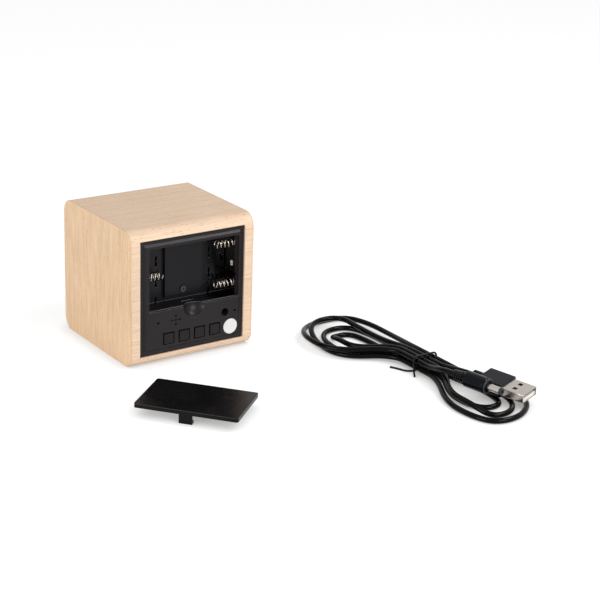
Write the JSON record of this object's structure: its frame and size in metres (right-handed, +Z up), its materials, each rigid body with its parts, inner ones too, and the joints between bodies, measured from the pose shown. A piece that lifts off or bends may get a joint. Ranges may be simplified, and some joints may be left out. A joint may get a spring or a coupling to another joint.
{
  "type": "talking clock",
  "caption": "Wooden cube talking clock seen from behind, with a black rear panel, open battery compartment, buttons, loose battery cover and tied supply lead",
  "frame": {"origin": "middle of the cube's base, on the surface it stands on", "axes": "+Z up, the display looks along -Y, the rear panel looks along +Y, +X to the right seen from the display's side"},
  "size_m": [0.1719, 0.2134, 0.07],
  "materials": {
    "wood_wrap": "pale ash veneer, grain along X, satin",
    "wood_board": "bare fibre board",
    "wood_veneer": "pale ash veneer, vertical grain, satin",
    "black_plastic": "fine satin moulding",
    "button_plastic": "satin",
    "sticker_paper": "bare white paper sticker",
    "contact_metal": "bright nickel plating",
    "screw_steel": "plated steel",
    "board_green": "solder mask",
    "chip_black": "matte",
    "switch_plastic": "matte",
    "film": "smoked film",
    "lamp": "unlit lamps",
    "speaker_metal": "zinc plated",
    "paper_cone": "coated paper",
    "ribbon_grey": "flat cable",
    "cord_black": "soft satin sheath",
    "tie_black": "covered wire",
    "plug_black": "soft satin moulding",
    "plug_metal": "bright nickel plating",
    "tongue_white": "satin",
    "gold": "gilt"
  },
  "bodies": {
    "clock": {"case_wrap": "wood_wrap", "side_board_left": "wood_board", "side_board_right": "wood_board", "side_veneer_left": "wood_veneer", "side_veneer_right": "wood_veneer", "rear_panel": "black_plastic", "panel_screw": "screw_steel", "panel_sticker": "sticker_paper", "contact_plate_positive": "contact_metal", "contact_plate_upper_link": "contact_metal", "contact_plate_lower_link": "contact_metal", "contact_plate_negative": "contact_metal", "battery_spring_top": "contact_metal", "battery_spring_middle": "contact_metal", "battery_spring_bottom": "contact_metal", "button_switches": "switch_plastic", "reset_switch": "switch_plastic", "microphone": "speaker_metal", "dc_jack": "switch_plastic", "dc_jack_pin": "contact_metal", "main_board": "board_green", "board_chips": "chip_black", "board_screws": "screw_steel", "speaker_frame": "speaker_metal", "speaker_cone": "paper_cone", "speaker_magnet": "speaker_metal", "display_diffuser": "film", "light_box": "switch_plastic", "display_board": "board_green", "display_leds": "lamp", "display_frame": "switch_plastic", "frame_screws": "screw_steel", "ribbon_cable": "ribbon_grey"},
    "button_1": {"button_1": "button_plastic"},
    "button_2": {"button_2": "button_plastic"},
    "button_3": {"button_3": "button_plastic"},
    "button_4": {"button_4": "button_plastic"},
    "battery_cover": {"battery_cover": "black_plastic"},
    "supply_lead": {"lead_hank": "cord_black", "twist_tie": "tie_black", "dc_strain_relief": "plug_black", "dc_plug_body": "plug_black", "dc_barrel": "plug_metal", "dc_barrel_tip": "chip_black", "usb_overmould": "plug_black", "usb_shell": "plug_metal", "usb_tongue": "tongue_white", "usb_contacts": "gold"}
  },
  "joints": [
    {"name": "button_1_press", "type": "slide", "parent": "clock", "child": "button_1", "axis": [0, -1, 0], "range_m": [0, 0.0004], "stiffness_N_per_m": 400},
    {"name": "button_2_press", "type": "slide", "parent": "clock", "child": "button_2", "axis": [0, -1, 0], "range_m": [0, 0.0004], "stiffness_N_per_m": 400},
    {"name": "button_3_press", "type": "slide", "parent": "clock", "child": "button_3", "axis": [0, -1, 0], "range_m": [0, 0.0004], "stiffness_N_per_m": 400},
    {"name": "button_4_press", "type": "slide", "parent": "clock", "child": "button_4", "axis": [0, -1, 0], "range_m": [0, 0.0004], "stiffness_N_per_m": 400},
    {"name": "battery_cover_lift", "type": "slide", "parent": "clock", "child": "battery_cover", "axis": [0, 0, 1], "range_m": [0, 0.1]},
    {"name": "supply_lead_lift", "type": "slide", "parent": "clock", "child": "supply_lead", "axis": [0, 0, 1], "range_m": [0, 0.1]}
  ]
}
